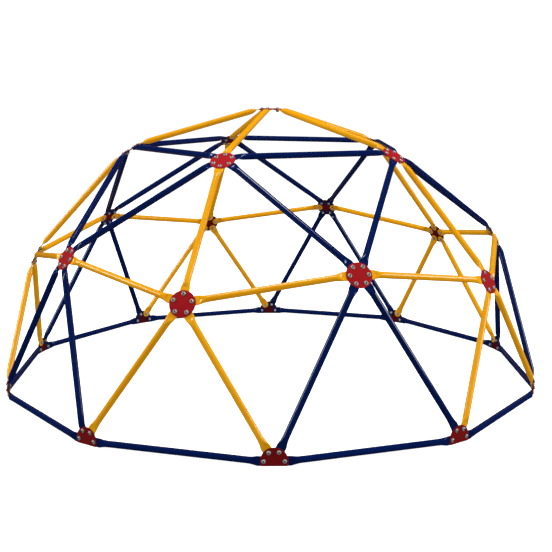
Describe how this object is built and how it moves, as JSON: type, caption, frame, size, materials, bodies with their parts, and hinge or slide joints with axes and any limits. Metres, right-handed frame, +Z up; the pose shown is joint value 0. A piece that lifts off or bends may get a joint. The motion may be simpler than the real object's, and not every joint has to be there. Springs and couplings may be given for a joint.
{
  "type": "dome climber",
  "caption": "Geodesic dome climbing frame of yellow and navy steel tubes, whose flattened ends are bolted under round red hub plates; the base plates are cut off flat to stand on the ground.",
  "frame": {"origin": "on the ground, at the centre of the ring of base hubs", "axes": "+Z up along the five-fold axis through the crown hub; +X through the middle of a base hub; -Y towards the front sector, whose middle hub has five struts"},
  "size_m": [3.023, 2.928, 1.535],
  "materials": {
    "yellow_tube": "gloss powder coat",
    "blue_tube": "gloss powder coat",
    "red_plate": "fine-textured powder coat",
    "zinc_bolt": "zinc plated",
    "zinc_washer": "zinc plated",
    "zinc_nut": "zinc plated"
  },
  "bodies": {
    "root": {"crown_plate": "red_plate", "upper_plate_1": "red_plate", "upper_plate_2": "red_plate", "upper_plate_3": "red_plate", "upper_plate_4": "red_plate", "upper_plate_5": "red_plate", "middle_plates_1": "red_plate", "middle_plates_2": "red_plate", "middle_plates_3": "red_plate", "middle_plates_4": "red_plate", "middle_plates_5": "red_plate", "base_plates_1": "red_plate", "base_plates_2": "red_plate", "base_plates_3": "red_plate", "base_plates_4": "red_plate", "base_plates_5": "red_plate", "crown_strut_1": "yellow_tube", "crown_strut_2": "yellow_tube", "crown_strut_3": "yellow_tube", "crown_strut_4": "yellow_tube", "crown_strut_5": "yellow_tube", "upper_ring_strut_1": "blue_tube", "upper_ring_strut_2": "blue_tube", "upper_ring_strut_3": "blue_tube", "upper_ring_strut_4": "blue_tube", "upper_ring_strut_5": "blue_tube", "upper_spine_strut_1": "yellow_tube", "upper_spine_strut_2": "yellow_tube", "upper_spine_strut_3": "yellow_tube", "upper_spine_strut_4": "yellow_tube", "upper_spine_strut_5": "yellow_tube", "upper_brace_struts_1": "blue_tube", "upper_brace_struts_2": "blue_tube", "upper_brace_struts_3": "blue_tube", "upper_brace_struts_4": "blue_tube", "upper_brace_struts_5": "blue_tube", "middle_ring_struts_1": "yellow_tube", "middle_ring_struts_2": "yellow_tube", "middle_ring_struts_3": "yellow_tube", "middle_ring_struts_4": "yellow_tube", "middle_ring_struts_5": "yellow_tube", "yellow_leg_struts_1": "yellow_tube", "yellow_leg_struts_2": "yellow_tube", "yellow_leg_struts_3": "yellow_tube", "yellow_leg_struts_4": "yellow_tube", "yellow_leg_struts_5": "yellow_tube", "blue_leg_struts_1": "blue_tube", "blue_leg_struts_2": "blue_tube", "blue_leg_struts_3": "blue_tube", "blue_leg_struts_4": "blue_tube", "blue_leg_struts_5": "blue_tube", "base_rail_struts_1": "blue_tube", "base_rail_struts_2": "blue_tube", "base_rail_struts_3": "blue_tube", "base_rail_struts_4": "blue_tube", "base_rail_struts_5": "blue_tube", "hub_bolts": "zinc_bolt", "hub_washers": "zinc_washer", "lock_nuts": "zinc_nut"}
  },
  "joints": []
}
